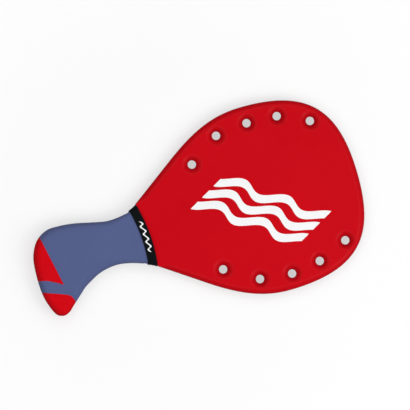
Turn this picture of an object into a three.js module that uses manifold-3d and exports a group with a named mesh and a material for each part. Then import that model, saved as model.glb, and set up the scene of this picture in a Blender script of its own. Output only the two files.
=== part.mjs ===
// Frescobol racket: a moulded bat with ten rounded holes and a pistol-shaped handle.
// Two laminate half shells meet half way through the thickness. Between them lie a foam core, a bent
// edge bar and a hardwood spine. Two cheeks thicken the handle, and a soft sleeve, two panels and a
// neck band wrap it.
//
// Millimetres, +Z up. The racket lies flat with its long axis along X: the blade's tip points to +X
// and the handle's hooked toe to -Y. Every form is drawn about the middle of the thickness, with the
// neck line at X = 0, and the whole group is then stood on Z = 0.

import * as THREE from "three";
import { mergeVertices } from "three/addons/utils/BufferGeometryUtils.js";
import Module from "manifold-3d";

const wasm = await Module();
wasm.setup();

// Blade
const bladeLength = 265.6; // neck line to tip
const bladeWidth = 227.2;
const bladeThickness = 12;
const neckWidth = 78; // across the two flanks at the neck line
const widestPlace = 151; // neck line to the widest place
const edgeDepth = 5.5; // the laminate's edge is rolled this deep
const edgeWidth = 7.5; // and this wide
const neckRunBack = 8; // the flanks run on behind the neck line before they are trimmed

// Laminate and what fills it
const skinWall = 1.2;
const bondGap = 0.3; // glue line between neighbouring pieces
const rimWidth = 4.5;
const spliceLength = 72; // neck line to the point of the V
const spliceSetback = 3; // solid wood ahead of the neck line's bow, before the V narrows

// Holes
const holeDiameter = 10;
const mouthDepth = 5.6; // the rounded mouth of a hole goes this deep
const mouthWidth = 8; // and reaches this far round the hole

// Handle
const handleLength = 139.2; // neck line to butt
const gripWidth = 53.2; // across the waist
const gripThickness = 25;
const heelReach = 38.2; // long axis to the heel's top
const toeReach = 65.9; // long axis to the toe's lowest point
const toeRadius = 11.8;
const toeSetback = 18.6; // butt to the centre of the toe's round
const sideFlat = 8; // flat band left between the two rounded edges of the handle's side
const taperStart = 14; // the handle begins to thicken here, behind the collar
const taperEnd = 62;
const cheekStart = 26;

// Sleeve and neck band
const sleeveWall = 2;
const bandWall = 0.8;
const bandWidth = 11;
const collarBow = 4.2; // the neck line bulges this far towards the blade
const collarLean = 2.7; // and its heel end lies this far behind the middle

// Fineness of the facets
const outerSteps = 3; // facets round an outer edge
const innerSteps = 2; // and round the same edge inside
const countersinkSteps = 1;
const holeSides = 14;
const shoulderSteps = 8;
const crownSteps = 15;
const collarSteps = 10;
const spanSteps = 2; // outline points for each stretch between two knots of the handle

const overrun = 20; // cutting forms reach this far past what they cut
const leastCorner = 0.4;
const leastClosingShare = 0.5; // holds back the points of a sharp corner when its outline moves in

// Half outline of the blade. The flank runs straight from the neck and ends at these shares of the
// blade's length and half width.
const flankEndShares = [0.203, 0.678];
// Pulls of the two curves that follow, as shares of the flank, of the run to the widest place, of the
// run from there to the tip, and of the half width.
const flankPullShare = 0.73;
const shoulderPullShare = 0.32;
const crownPullShare = 0.777;
const tipPullShare = 0.66;

// Hole centres, as shares of the blade's length and half width: five along the heel side, then five
// along the toe side. They are drilled by hand, so the two rows don't quite mirror each other.
const holePlaceShares = [
  [0.288, 0.563],
  [0.43, 0.782],
  [0.579, 0.82],
  [0.72, 0.802],
  [0.859, 0.655],
  [0.29, -0.589],
  [0.438, -0.797],
  [0.585, -0.838],
  [0.722, -0.794],
  [0.86, -0.661],
];

// Handle outline round the neck: share of the handle's length behind the neck line, then how much of
// the flare from waist to neck is left on the heel side and on the throat side.
const neckFlareShares = [
  [-0.1, 1.6, 1.77],
  [0, 0.82, 0.96],
  [0.09, 0.34, 0.53],
  [0.187, 0.12, 0.16],
  [0.295, 0.088, -0.07],
];
// Along the heel: share of the handle's length, and share of the swell from waist to heel.
const heelSwellShares = [
  [0.424, 0.414],
  [0.568, 0.81],
  [0.704, 0.99],
  [0.812, 0.914],
];
// Down the butt: share of the handle's length, and share of the way from the heel's top to the toe.
const buttDropShares = [
  [0.912, 0.09],
  [0.978, 0.247],
  [1, 0.463],
  [0.992, 0.73],
];
// Along the throat, where the fingers hook round: share of the handle's length, and share of the drop
// from waist to toe.
const throatDropShares = [
  [0.388, -0.005],
  [0.481, 0.079],
  [0.568, 0.23],
  [0.629, 0.361],
  [0.675, 0.501],
  [0.715, 0.626],
  [0.751, 0.735],
  [0.783, 0.837],
];
// The rounded edge is this much wider than deep where the fingers hook round. It widens and narrows
// again between these shares of the handle's length.
const throatWidthShare = 0.5;
const throatRunShares = [0.12, 0.34, 0.58, 0.78];
const toeArcStart = THREE.MathUtils.degToRad(-165);
const toeArcEnd = THREE.MathUtils.degToRad(-50);
const toeArcKnots = 4;

// Panels of the sleeve: corners as shares of the handle's length, and of the way from the heel's top to
// the toe. They run past the handle's outline on the outer side.
const heelPanelShares = [
  [0.908, -0.08],
  [1.15, -0.08],
  [1.15, 0.497],
  [0.989, 0.544],
  [0.93, 0.565],
  [0.888, 0.592],
  [0.802, 0.661],
];
const toePanelShares = [
  [1.15, 0.602],
  [1.15, 1.15],
  [0.738, 1.15],
  [0.738, 0.982],
  [0.746, 0.89],
  [0.756, 0.838],
  [0.777, 0.798],
  [0.82, 0.768],
  [0.88, 0.737],
];

const bladeHalf = bladeThickness / 2;
const bladeReach = bladeWidth / 2;
const neckReach = neckWidth / 2;
const gripHalf = gripThickness / 2;
const waistReach = gripWidth / 2;
const tangInset = sleeveWall + bondGap;
const neckHalf = bladeHalf + tangInset + bondGap; // half thickness over the sleeve at the collar
const coreInset = skinWall + bondGap;
const farReach = bladeLength + handleLength;

// Outlines

// A closed outline moved inwards, each corner along the line that halves it. The outline runs
// anticlockwise seen from above, and insetAt gives the distance for each of its points.
function insetLoop(loop, insetAt) {
  return loop.map((point, i) => {
    const before = loop[(i + loop.length - 1) % loop.length];
    const after = loop[(i + 1) % loop.length];
    const into = point.clone().sub(before).normalize();
    const out = after.clone().sub(point).normalize();
    const inward = new THREE.Vector2(-into.y - out.y, into.x + out.x).normalize();
    const stretch = 1 / Math.max(inward.dot(new THREE.Vector2(-out.y, out.x)), leastClosingShare);
    return point.clone().addScaledVector(inward, insetAt(point, i) * stretch);
  });
}

// The blade's outline: straight flanks from the neck, then a shoulder curve to the widest place and a
// crown curve to the tip, on each side of the long axis.
function makeBladeLoop() {
  const neck = new THREE.Vector2(0, neckReach);
  const flankEnd = new THREE.Vector2(flankEndShares[0] * bladeLength, flankEndShares[1] * bladeReach);
  const flank = flankEnd.clone().sub(neck);
  const widest = new THREE.Vector2(widestPlace, bladeReach);
  const shoulderRun = widestPlace - flankEnd.x;
  const crownRun = bladeLength - widestPlace;
  const shoulder = new THREE.CubicBezierCurve(
    flankEnd,
    flankEnd.clone().addScaledVector(flank, flankPullShare),
    new THREE.Vector2(widestPlace - shoulderPullShare * shoulderRun, bladeReach),
    widest,
  );
  const crown = new THREE.CubicBezierCurve(
    widest,
    new THREE.Vector2(widestPlace + crownPullShare * crownRun, bladeReach),
    new THREE.Vector2(bladeLength, tipPullShare * bladeReach),
    new THREE.Vector2(bladeLength, 0),
  );
  const start = neck.clone().addScaledVector(flank, -neckRunBack / flank.x);
  const upper = [
    start,
    ...shoulder.getSpacedPoints(shoulderSteps),
    ...crown.getSpacedPoints(crownSteps).slice(1),
  ];
  const lower = upper.slice(0, -1).map((p) => new THREE.Vector2(p.x, -p.y));
  return [...lower, ...upper.reverse()];
}

// A place on the handle, by its share of the handle's length and of the way from heel to toe.
function handlePlace([alongShare, downShare]) {
  return new THREE.Vector2(
    -alongShare * handleLength,
    heelReach - downShare * (heelReach + toeReach),
  );
}

// The handle's outline: heel side, butt, toe, then back along the throat. Heel side and throat side
// have the same number of points, so the points face each other in pairs.
function makeHandleLoop() {
  const flare = neckReach - waistReach;
  const along = (share) => -share * handleLength;
  const heelSide = [
    ...neckFlareShares.map(([run, heel]) => [along(run), waistReach + heel * flare]),
    ...heelSwellShares.map(([run, swell]) => [
      along(run),
      waistReach + swell * (heelReach - waistReach),
    ]),
    ...buttDropShares.map((shares) => handlePlace(shares).toArray()),
  ];
  const toe = Array.from({ length: toeArcKnots }, (_, i) => {
    const angle = THREE.MathUtils.lerp(toeArcStart, toeArcEnd, i / (toeArcKnots - 1));
    return [
      toeSetback - handleLength + toeRadius * Math.cos(angle),
      toeRadius - toeReach + toeRadius * Math.sin(angle),
    ];
  });
  const throatSide = [
    ...neckFlareShares.map(([run, , throat]) => [along(run), -waistReach - throat * flare]),
    ...throatDropShares.map(([run, drop]) => [
      along(run),
      -waistReach - drop * (toeReach - waistReach),
    ]),
  ];
  const knots = [...heelSide, ...toe, ...throatSide.reverse()];
  const curve = new THREE.CatmullRomCurve3(
    knots.map(([x, y]) => new THREE.Vector3(x, y, 0)),
    false,
    "centripetal",
  );
  const points = curve.getPoints((knots.length - 1) * spanSteps);
  return points.map((p) => new THREE.Vector2(p.x, p.y));
}

const bladeLoop = makeBladeLoop();
const handleLoop = makeHandleLoop();

// The neck line across the bat: bowed towards the blade, and leaning back on the heel side.
function neckLine(y) {
  const across = y / neckReach;
  return collarBow * (1 - across * across) - collarLean * across;
}

// Everything on the handle's side of the neck line, once that is moved towards the blade by a shift.
function behindNeckLoop(shift) {
  const reach = neckReach + overrun;
  const line = Array.from({ length: collarSteps + 1 }, (_, i) => {
    const y = THREE.MathUtils.lerp(-reach, reach, i / collarSteps);
    return new THREE.Vector2(neckLine(y) + shift, y);
  });
  return [
    new THREE.Vector2(-farReach, -reach - toeReach),
    new THREE.Vector2(line[0].x, -reach - toeReach),
    ...line,
    new THREE.Vector2(-farReach, reach),
  ];
}

// Everything that belongs to the spine: the whole handle, the neck, and a V that points into the core.
function spineLoop(grow) {
  const root = collarBow + spliceSetback;
  const reach = bladeReach + overrun;
  const spliceReach = neckReach - rimWidth;
  const loop = [
    new THREE.Vector2(-farReach, -reach),
    new THREE.Vector2(root, -reach),
    new THREE.Vector2(root, -spliceReach),
    new THREE.Vector2(spliceLength, 0),
    new THREE.Vector2(root, spliceReach),
    new THREE.Vector2(root, reach),
    new THREE.Vector2(-farReach, reach),
  ];
  return insetLoop(loop, () => -grow);
}

// Solids

function solidFrom(vertProperties, triVerts) {
  return new wasm.Manifold(
    new wasm.Mesh({
      numProp: 3,
      vertProperties: Float32Array.from(vertProperties),
      triVerts: Uint32Array.from(triVerts),
    }),
  );
}

function solidOf(geometry) {
  geometry.deleteAttribute("normal");
  geometry.deleteAttribute("uv");
  const merged = mergeVertices(geometry);
  return solidFrom(merged.attributes.position.array, merged.index.array);
}

// An upright block of an outline, between two heights.
function prism(loop, low, high) {
  const geometry = new THREE.ExtrudeGeometry(new THREE.Shape(loop), {
    depth: high - low,
    bevelEnabled: false,
  });
  return solidOf(geometry.translate(0, 0, low));
}

// A plate about the middle plane with rounded edges: half its thickness and how deep and wide the
// rounding is may change from point to point. inset gives the parallel plate that much smaller all round.
function roundedPlate(loop, halfAt, depthAt, widthAt, inset) {
  const depth = (p) => Math.max(depthAt(p) - inset, leastCorner);
  const width = (p, i) => Math.max(widthAt(p, i) - inset, leastCorner);
  const edgeSteps = inset > 0 ? innerSteps : outerSteps;
  const rings = [];
  for (let side = -1; side <= 1; side += 2)
    for (let step = 0; step <= edgeSteps; step++) {
      const turn = ((side < 0 ? edgeSteps - step : step) / edgeSteps) * (Math.PI / 2);
      const ring = insetLoop(loop, (p, i) => inset + width(p, i) * (1 - Math.cos(turn)));
      rings.push(
        ring.map((q, i) => {
          const drop = depth(loop[i]) * (1 - Math.sin(turn));
          return [q.x, q.y, side * (halfAt(loop[i]) - inset - drop)];
        }),
      );
    }
  const n = loop.length;
  const triangles = [];
  for (let j = 0; j < rings.length - 1; j++)
    for (let i = 0; i < n; i++) {
      const next = (i + 1) % n;
      const [a, b, c, d] = [j * n + i, j * n + next, (j + 1) * n + next, (j + 1) * n + i];
      triangles.push(a, b, c, a, c, d);
    }
  // The two faces are strips between the points that face each other.
  const top = (rings.length - 1) * n;
  for (let i = 0; i < (n - 1) / 2; i++) {
    const [a, b, c, d] = [i, i + 1, n - 2 - i, n - 1 - i];
    triangles.push(top + a, top + b, top + c, a, c, b);
    if (b !== c) triangles.push(top + a, top + c, top + d, a, d, c);
    else triangles.push(top + b, top + d, top + a, b, a, d);
  }
  return solidFrom(rings.flat(2), triangles);
}

// The handle's form: it thickens from the neck to the grip, and its edges round more as it does.
function handleHalfAt(point) {
  const swell = THREE.MathUtils.smoothstep(-point.x, taperStart, taperEnd);
  return THREE.MathUtils.lerp(neckHalf, gripHalf, swell);
}

function handleEdgeDepthAt(point) {
  return handleHalfAt(point) - sideFlat / 2;
}

// The throat is the second half of the outline.
function handleEdgeWidthAt(point, i) {
  if (i <= handleLoop.length / 2) return handleEdgeDepthAt(point);
  const run = -point.x / handleLength;
  const widening = THREE.MathUtils.smoothstep(run, throatRunShares[0], throatRunShares[1]);
  const narrowing = THREE.MathUtils.smoothstep(run, throatRunShares[2], throatRunShares[3]);
  return handleEdgeDepthAt(point) * (1 + throatWidthShare * (widening - narrowing));
}

function handleForm(inset) {
  return roundedPlate(handleLoop, handleHalfAt, handleEdgeDepthAt, handleEdgeWidthAt, inset);
}

// What a hole takes out: a straight throat between two rounded mouths. Inside the laminate each mouth is
// a plain countersink.
function holeForm(inset) {
  const mouth = holeDiameter / 2 + mouthWidth;
  const width = mouthWidth - inset;
  const depth = mouthDepth - inset;
  const steps = inset > 0 ? countersinkSteps : outerSteps;
  const upper = [];
  for (let step = 0; step <= steps; step++) {
    const turn = (step / steps) * (Math.PI / 2);
    upper.push([mouth - width * Math.cos(turn), bladeHalf - mouthDepth + depth * Math.sin(turn)]);
  }
  upper.push([mouth, bladeHalf + overrun], [0, bladeHalf + overrun]);
  const lower = upper.map(([r, z]) => [r, -z]).reverse();
  const profile = [...lower, ...upper].map(([r, z]) => new THREE.Vector2(r, z));
  return solidOf(new THREE.LatheGeometry(profile, holeSides).rotateX(Math.PI / 2));
}

function bladeForm(inset) {
  return roundedPlate(
    bladeLoop,
    () => bladeHalf,
    () => edgeDepth,
    () => edgeWidth,
    inset,
  ).subtract(prism(behindNeckLoop(inset), -bladeThickness, bladeThickness));
}

// The moulded bat without its sleeve: the blade with its holes, and the tang that runs down inside the
// handle. inset gives the parallel form inside it.
function batForm(inset) {
  const half = bladeHalf - inset;
  const tang = handleForm(tangInset + inset)
    .subtract(outside(1, half, farReach))
    .subtract(outside(-1, half, farReach));
  const hole = holeForm(inset);
  let bat = bladeForm(inset).add(tang);
  for (const [alongShare, acrossShare] of holePlaceShares)
    bat = bat.subtract(hole.translate(alongShare * bladeLength, acrossShare * bladeReach, 0));
  return bat;
}

// Pieces

// Everything on one face's side of a height, up to a place along the long axis.
function outside(side, height, endX) {
  const loop = [
    new THREE.Vector2(-farReach, -farReach),
    new THREE.Vector2(endX, -farReach),
    new THREE.Vector2(endX, farReach),
    new THREE.Vector2(-farReach, farReach),
  ];
  const far = height + gripThickness;
  return side > 0 ? prism(loop, height, far) : prism(loop, -far, -height);
}

const laminate = batForm(0).subtract(batForm(skinWall));
const filling = batForm(coreInset);
const insideRim = insetLoop(bladeLoop, () => coreInset + rimWidth);
const insideCore = insetLoop(bladeLoop, () => coreInset + rimWidth + bondGap);
const spineZone = prism(spineLoop(0), -bladeThickness, bladeThickness);
const aroundSpine = prism(spineLoop(bondGap), -bladeThickness, bladeThickness);

function skin(side) {
  return laminate.intersect(outside(side, 0, farReach));
}

function bladeCore() {
  return filling
    .intersect(prism(insideCore, -bladeThickness, bladeThickness))
    .subtract(aroundSpine);
}

function rimFrame() {
  return filling
    .subtract(prism(insideRim, -bladeThickness, bladeThickness))
    .subtract(aroundSpine);
}

function handleSpine() {
  return filling.intersect(spineZone);
}

// A cheek fills the handle between the tang and the sleeve on one face.
function cheek(side) {
  return handleForm(tangInset).intersect(outside(side, bladeHalf + bondGap, -cheekStart));
}

// The soft shell of the handle, from which the sleeve and its panels are cut.
const wrap = handleForm(0)
  .subtract(handleForm(sleeveWall))
  .intersect(prism(behindNeckLoop(-bondGap), -gripThickness, gripThickness));
const heelZone = heelPanelShares.map(handlePlace);
const toeZone = toePanelShares.map(handlePlace);

function gripSleeve() {
  return wrap
    .subtract(prism(heelZone, -gripThickness, gripThickness))
    .subtract(prism(toeZone, -gripThickness, gripThickness));
}

function panel(zone) {
  return wrap.intersect(prism(insetLoop(zone, () => bondGap), -gripThickness, gripThickness));
}

function collarBand() {
  return handleForm(-bondGap - bandWall)
    .subtract(handleForm(-bondGap))
    .intersect(prism(behindNeckLoop(-bondGap), -gripThickness, gripThickness))
    .subtract(prism(behindNeckLoop(-bondGap - bandWidth), -gripThickness, gripThickness));
}

// Materials
const finish = (color, roughness) =>
  new THREE.MeshStandardMaterial({ color, roughness, metalness: 0 });
const redPaint = finish(0xc7101b, 0.3);
const greySleeve = finish(0x535e88, 0.85);
const redSleeve = finish(0xc7101b, 0.8);
const blackBand = finish(0x12181b, 0.6);
const foam = finish(0xe6dcb8, 0.9);
const hardwood = finish(0xa9743f, 0.7);
const cheekFoam = finish(0xd8c69a, 0.9);

function named(name, solid, material) {
  const made = solid.getMesh();
  const geometry = new THREE.BufferGeometry()
    .setAttribute("position", new THREE.BufferAttribute(made.vertProperties, 3))
    .setIndex(new THREE.BufferAttribute(made.triVerts, 1));
  geometry.computeVertexNormals();
  const mesh = new THREE.Mesh(geometry, material);
  mesh.name = name;
  return mesh;
}

const blade = new THREE.Group().add(
  named("front_skin", skin(1), redPaint),
  named("back_skin", skin(-1), redPaint),
  named("blade_core", bladeCore(), foam),
  named("rim_frame", rimFrame(), hardwood),
);
const handle = new THREE.Group().add(
  named("handle_spine", handleSpine(), hardwood),
  named("front_cheek", cheek(1), cheekFoam),
  named("back_cheek", cheek(-1), cheekFoam),
  named("grip_sleeve", gripSleeve(), greySleeve),
  named("heel_panel", panel(heelZone), redSleeve),
  named("toe_panel", panel(toeZone), redSleeve),
  named("collar_band", collarBand(), blackBand),
);
const racket = new THREE.Group().add(blade, handle);

// The origin is the middle of the racket's footprint, on the surface that it lies on.
const box = new THREE.Box3().setFromObject(racket, true);
const centre = box.getCenter(new THREE.Vector3());
racket.position.set(-centre.x, -centre.y, -box.min.z);

export default racket;
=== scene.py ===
# %% [markdown]
# # A moulded beach racket
#
# The racket lies on its back on white paper. Its solids are already here at their real size, and they
# decide where everything goes. This lesson dresses them: two smooth laminate shells, a knit sleeve with
# two let-in panels, a band round the neck, a screen print, and a finish for every surface, inside too.
#
# We load the solids first and keep their box, so that we can tell at the end whether the dressed racket
# still fills the same space.

# %% Load the solids
import functools
import math

import bmesh
import bpy
import numpy as np
from mathutils import Matrix, Vector
from mathutils.geometry import delaunay_2d_cdt


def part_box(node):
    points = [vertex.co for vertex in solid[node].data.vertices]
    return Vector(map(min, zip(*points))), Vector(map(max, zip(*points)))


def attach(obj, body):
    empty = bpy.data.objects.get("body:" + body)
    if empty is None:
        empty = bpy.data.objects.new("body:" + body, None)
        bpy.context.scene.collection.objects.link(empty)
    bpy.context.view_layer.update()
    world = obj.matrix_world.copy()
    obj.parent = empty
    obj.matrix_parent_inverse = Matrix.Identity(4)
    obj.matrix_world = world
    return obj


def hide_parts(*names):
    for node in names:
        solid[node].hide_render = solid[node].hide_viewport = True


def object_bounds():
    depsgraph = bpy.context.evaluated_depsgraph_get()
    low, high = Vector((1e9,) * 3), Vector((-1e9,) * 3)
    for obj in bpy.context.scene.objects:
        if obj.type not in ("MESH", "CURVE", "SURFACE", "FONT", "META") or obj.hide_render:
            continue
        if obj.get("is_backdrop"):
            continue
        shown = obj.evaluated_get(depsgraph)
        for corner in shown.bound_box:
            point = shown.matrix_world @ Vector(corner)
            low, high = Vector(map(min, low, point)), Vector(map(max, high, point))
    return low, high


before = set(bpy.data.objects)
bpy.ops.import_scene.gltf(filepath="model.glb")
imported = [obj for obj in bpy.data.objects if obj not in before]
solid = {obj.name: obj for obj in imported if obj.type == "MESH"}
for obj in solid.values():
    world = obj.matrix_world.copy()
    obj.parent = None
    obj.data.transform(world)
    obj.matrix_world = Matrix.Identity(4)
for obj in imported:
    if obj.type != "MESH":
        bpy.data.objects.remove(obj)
solid_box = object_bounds()
print("the solids span", [round(high - low, 4) for low, high in zip(*solid_box)], "m")

# %% [markdown]
# ## Sizes and axes
#
# The frame gives the tip, the middle of the thickness and the faces. The other sizes are the ones that
# the racket was drawn with. Everything is drawn about two simple zeros, the neck line along the racket
# and the middle of its thickness, and moved to its real place at the end.

# %% Driving sizes
mm = 0.001
blade_length = 265.6 * mm
neck_reach = 39 * mm
widest_place = 151 * mm
edge_depth = 5.5 * mm
edge_width = 7.5 * mm
skin_wall = 1.2 * mm
handle_length = 139.2 * mm
waist_reach = 26.6 * mm
heel_reach = 38.2 * mm
toe_reach = 65.9 * mm
sleeve_wall = 2 * mm
bond_gap = 0.3 * mm
band_wall = 0.8 * mm
band_width = 11 * mm

skin_low, skin_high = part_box("front_skin")
_, grip_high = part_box("grip_sleeve")
mid_z = skin_low.z
blade_half = skin_high.z - mid_z
blade_reach = skin_high.y
grip_half = grip_high.z - mid_z
neck_x = skin_high.x - blade_length
print("blade", round(2 * blade_half / mm, 1), "mm thick, grip", round(2 * grip_half / mm, 1), "mm thick")

# %% [markdown]
# ## From arrays to meshes
#
# A surface here is a grid: two parameters run over an array, and a formula gives each point. Four
# neighbours in the grid are the corners of a face, so the faces are arrays too. Such forms could also be
# pushed and pulled by hand out of a cube, but a formula keeps them true to the sizes above, and a change
# of one size moves every point that depends on it.

# %% Grids, meshes and objects
racket_zero = np.array([neck_x, 0, mid_z])


def numbered(points, start=0):
    """The numbers of some points in their mesh, in the shape that the points come in."""
    return start + np.arange(points[..., 0].size).reshape(points.shape[:-1])


def corners(grid, closed=True):
    """The four corners of each cell: a value, the next one in its row, and the same two a row later."""
    after = np.roll(grid, -1, axis=1)
    cells = np.stack([grid[:-1], after[:-1], after[1:], grid[1:]], axis=2)
    cells = cells if closed else cells[:, :-1]
    return cells.reshape(-1, *cells.shape[2:])


def mesh_of(name, points, faces, zero=racket_zero):
    """A mesh from points about the racket's own zero, moved to their place in the scene, and from faces,
    each a list of point numbers."""
    made = bpy.data.meshes.new(name)
    made.from_pydata(points.reshape(-1, 3) + zero, [], faces)
    return made


def placed(name, data):
    """An object in the scene that shows a mesh, a lamp or a camera."""
    made = bpy.data.objects.new(name, data)
    bpy.context.scene.collection.objects.link(made)
    return made


def piece(name, mesh, *nodes, slot=None):
    """A piece of the racket, which may stand for some of its solids. Its slot is not used."""
    made = placed(name, mesh)
    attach(made, "root")
    if nodes:
        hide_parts(*nodes)
    return made


print("the racket's own zero is at", [round(place / mm, 1) for place in racket_zero.tolist()], "mm")

# %% [markdown]
# ## Surfaces that know where they look
#
# Some surfaces are made of several patches, with triangles of all shapes between them. Smooth shading
# alone works out from the triangles where each point looks, and in gloss paint that shows. The formula
# of the surface gives the true direction too. Handing it to the mesh makes the paint look as smooth as
# the formula, whatever triangles lie below it. The racket's back mirrors its front, so a surface can be
# made turned over.

# %% Gather patches
class Surface:
    """The patches of one mesh: points, faces, and the direction in which each face's corners look."""

    def __init__(self, turned_over=False):
        self.points, self.faces, self.looks, self.count = [], [], [], 0
        self.turned_over = turned_over
        self.axes = np.array([1, 1, -1 if turned_over else 1])

    def add_points(self, points):
        """Keeps points and gives their numbers."""
        numbers = numbered(points, self.count)
        self.points.append(points.reshape(-1, 3) * self.axes)
        self.count += numbers.size
        return numbers

    def add_faces(self, faces, looks, inner=False):
        """Keeps faces, each a row of point numbers, with a direction for each corner. An inner face looks
        the other way. Its corners run backwards, and so do those of a face that is turned over."""
        looks = np.broadcast_to(looks, (*faces.shape, 3)) * self.axes * (-1 if inner else 1)
        backwards = inner != self.turned_over
        self.faces += (faces[:, ::-1] if backwards else faces).tolist()
        self.looks.append((looks[:, ::-1] if backwards else looks).reshape(-1, 3))

    def mesh(self, name):
        """All the patches as one mesh."""
        made = mesh_of(name, np.vstack(self.points), self.faces)
        made.normals_split_custom_set(np.vstack(self.looks).tolist())
        return made


print("a surface on the front keeps its axes, one on the back turns z:", Surface(True).axes.tolist())

# %% [markdown]
# ## The blade's outline
#
# The bat is drawn with a straight flank from the neck, a shoulder that carries the flank's direction
# into the widest place, and a crown that closes at the tip. It could be traced with a hundred points,
# but they would hold no size that can be changed. Two Bézier curves do it with a handful, and meet
# without a kink because the pulls on both sides of a joint lie on one line.

# %% Blade outline
flank_end_share = np.array([0.203, 0.678])
flank_pull_share = 0.73
shoulder_pull_share = 0.32
crown_pull_share = 0.777
tip_pull_share = 0.66
point_gap = 1.4 * mm
bezier_steps = 400


def bezier(a, b, c, d):
    """A cubic Bézier: its points weigh (1-t)^3, 3t(1-t)^2, 3t^2(1-t) and t^3 as t runs from 0 to 1."""
    t = np.linspace(0, 1, bezier_steps)[:, None]
    return (1 - t) ** 3 * a + 3 * t * (1 - t) ** 2 * b + 3 * t**2 * (1 - t) * c + t**3 * d


def evenly(points, gap):
    """The same line with its points about one gap apart: each coordinate is read off the summed length."""
    along = np.concatenate([[0], np.cumsum(np.linalg.norm(np.diff(points, axis=0), axis=1))])
    places = np.linspace(0, along[-1], int(round(along[-1] / gap)) + 1)
    return np.stack([np.interp(places, along, points[:, k]) for k in range(points.shape[1])], axis=1)


def blade_outline():
    """Anticlockwise from behind the neck on the throat side, round the tip, to the heel side."""
    neck = np.array([0, neck_reach])
    flank_end = flank_end_share * [blade_length, blade_reach]
    flank = flank_end - neck
    widest = np.array([widest_place, blade_reach])
    shoulder_pull = np.array([shoulder_pull_share * (widest_place - flank_end[0]), 0])
    crown_pull = np.array([crown_pull_share * (blade_length - widest_place), 0])
    tip = np.array([blade_length, 0])
    side = np.array([blade_length, tip_pull_share * blade_reach])
    start = neck - flank * band_width / flank[0]
    shoulder = bezier(flank_end, flank_end + flank_pull_share * flank, widest - shoulder_pull, widest)
    crown = bezier(widest, widest + crown_pull, side, tip)
    half = evenly(np.vstack([start, shoulder, crown[1:]]), point_gap)
    return np.vstack([half * [1, -1], half[-2::-1]])


blade_loop = blade_outline()
print("blade outline:", len(blade_loop), "points,", round(np.ptp(blade_loop[:, 1]) / mm, 1), "mm wide")

# %% [markdown]
# ## The handle's outline
#
# A pistol-shaped handle has no simple formula, so a smooth curve runs through a few knots, kept as
# shares of the handle's own sizes. Bézier curves would need a pull on both sides of each knot. A
# centripetal Catmull-Rom curve needs the knots alone, passes through every one and never loops between
# close ones. The knots of the heel side and of the throat side face each other in pairs, which later
# lets a straight line cross the handle from any point to its partner.

# %% Handle outline
neck_flare_share = np.array(
    [[-0.1, 1.6, 1.77], [0, 0.82, 0.96], [0.09, 0.34, 0.53], [0.187, 0.12, 0.16], [0.295, 0.088, -0.07]]
)
heel_swell_share = np.array([[0.424, 0.414], [0.568, 0.81], [0.704, 0.99], [0.812, 0.914]])
butt_drop_share = np.array([[0.912, 0.09], [0.978, 0.247], [1, 0.463], [0.992, 0.73]])
throat_drop_share = np.array(
    [[0.388, -0.005], [0.481, 0.079], [0.568, 0.23], [0.629, 0.361]]
    + [[0.675, 0.501], [0.715, 0.626], [0.751, 0.735], [0.783, 0.837]]
)
toe_radius = 11.8 * mm
toe_setback = 18.6 * mm
toe_arc = np.radians(np.linspace(-165, -50, 4))
knot_steps = 12


def smooth_curve(knots, steps):
    """Centripetal Catmull-Rom: each stretch is a cubic whose end slopes blend the slopes to the knots on
    both sides, weighed by the square roots of the distances."""
    p = np.vstack([2 * knots[0] - knots[1], knots, 2 * knots[-1] - knots[-2]])
    gap = np.sqrt(np.linalg.norm(np.diff(p, axis=0), axis=1))[:, None]
    before, here, after = gap[:-2], gap[1:-1], gap[2:]
    p0, p1, p2, p3 = p[:-3], p[1:-2], p[2:-1], p[3:]
    leave = here * ((p1 - p0) / before - (p2 - p0) / (before + here)) + p2 - p1
    arrive = here * ((p3 - p2) / after - (p3 - p1) / (here + after)) + p2 - p1
    t = (np.arange(steps) / steps)[:, None, None]
    cubic = p1 + t * leave + t**2 * (3 * (p2 - p1) - 2 * leave - arrive)
    cubic = cubic + t**3 * (2 * (p1 - p2) + leave + arrive)
    return np.vstack([cubic.transpose(1, 0, 2).reshape(-1, knots.shape[1]), knots[-1:]])


def down_handle(run, reach):
    """Places behind the neck by a share of the handle's length, and beside the middle line by a reach."""
    return np.stack([-run * handle_length, reach], axis=1)


def handle_place(shares):
    """From shares of the handle's length and of the way from heel to toe, to a place on the handle."""
    run, way = shares.T
    return down_handle(run, heel_reach - way * (heel_reach + toe_reach))


def handle_outline():
    """Anticlockwise from the neck down the heel side, round butt and toe, and back up the throat."""
    flare = neck_reach - waist_reach
    run, heel, throat = neck_flare_share.T
    heel_neck = down_handle(run, waist_reach + heel * flare)
    throat_neck = down_handle(run, -waist_reach - throat * flare)
    run, swell = heel_swell_share.T
    heel_side = down_handle(run, waist_reach + swell * (heel_reach - waist_reach))
    run, drop = throat_drop_share.T
    throat_side = down_handle(run, -waist_reach - drop * (toe_reach - waist_reach))
    toe_middle = [toe_setback - handle_length, toe_radius - toe_reach]
    toe = toe_middle + toe_radius * np.stack([np.cos(toe_arc), np.sin(toe_arc)], axis=1)
    down = [heel_neck, heel_side, handle_place(butt_drop_share), toe]
    return smooth_curve(np.vstack([*down, throat_side[::-1], throat_neck[::-1]]), knot_steps)


handle_loop = handle_outline()
print("handle outline:", len(handle_loop), "points, butt at", round(handle_loop[:, 0].min() / mm, 1), "mm")

# %% [markdown]
# ## The neck line
#
# Paint and sleeve meet on a line that bows towards the blade and leans back on the heel side. A block
# with a bent side could cut them there. A formula for how far a point lies behind the line needs no
# block, and the band's finish can use it as well. The same line trims the blade, the sleeve and the
# band, so they always meet.

# %% Neck line and parallel outlines
collar_bow = 4.2 * mm
collar_lean = 2.7 * mm
corner_room = 3 * mm
least_closing_share = 0.5


def behind_neck(points):
    """How far points lie behind the neck line, which is a parabola across plus a straight lean."""
    across = points[..., 1] / neck_reach
    return collar_bow * (1 - across**2) - collar_lean * across - points[..., 0]


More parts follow.
